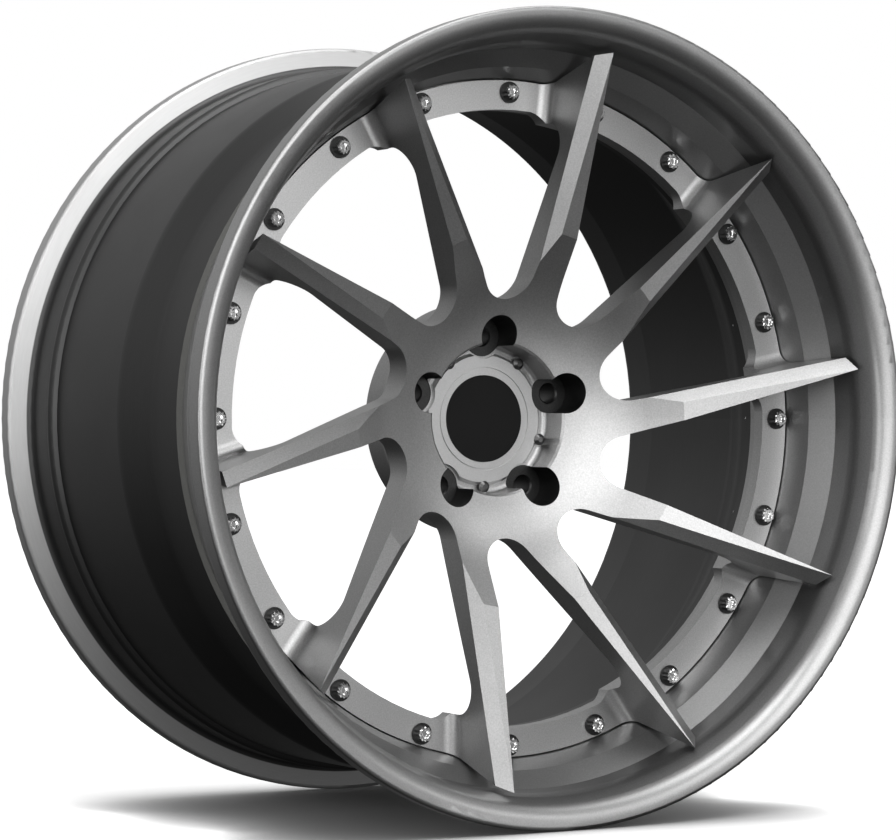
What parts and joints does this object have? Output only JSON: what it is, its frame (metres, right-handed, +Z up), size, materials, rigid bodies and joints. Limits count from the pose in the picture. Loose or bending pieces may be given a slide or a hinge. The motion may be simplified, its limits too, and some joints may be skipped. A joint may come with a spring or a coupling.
{
  "type": "forged wheel",
  "caption": "Three-piece forged car wheel with a deep stepped lip, swept milled spokes, bolted rim halves, a hub bore and a stud circle.",
  "frame": {"origin": "centre of the hub bore in the plane of the mounting pad", "axes": "+Y along the spin axis, from the face towards the car; +Z up; the wheel stands upright"},
  "size_m": [0.5474, 0.3179, 0.5474],
  "materials": {
    "face_metal": "satin brushed gunmetal",
    "lip_metal": "satin clear-coated grey",
    "barrel_paint": "painted matte dark grey",
    "sealant": "matte",
    "bolt_chrome": "bright",
    "washer_black": "satin black",
    "zinc": "satin",
    "cap_metal": "bead blasted",
    "badge_black": "gloss",
    "black_rubber": "matte",
    "screw_steel": "satin",
    "valve_metal": "nickel plated",
    "core_brass": "satin",
    "valve_plastic": "matte"
  },
  "bodies": {
    "root": {"face_disc": "face_metal", "outer_lip": "lip_metal", "inner_barrel": "barrel_paint", "rim_seal": "sealant", "assembly_bolts": "bolt_chrome", "bolt_washers": "washer_black", "nut_washers": "zinc", "assembly_nuts": "zinc", "centre_cap": "cap_metal", "cap_badge": "badge_black", "cap_o_ring": "black_rubber", "cap_screws": "screw_steel", "valve_stem": "valve_metal", "valve_grommet": "black_rubber", "valve_washer": "zinc", "valve_nut": "valve_metal", "valve_core": "core_brass", "valve_cap": "valve_plastic"}
  },
  "joints": []
}
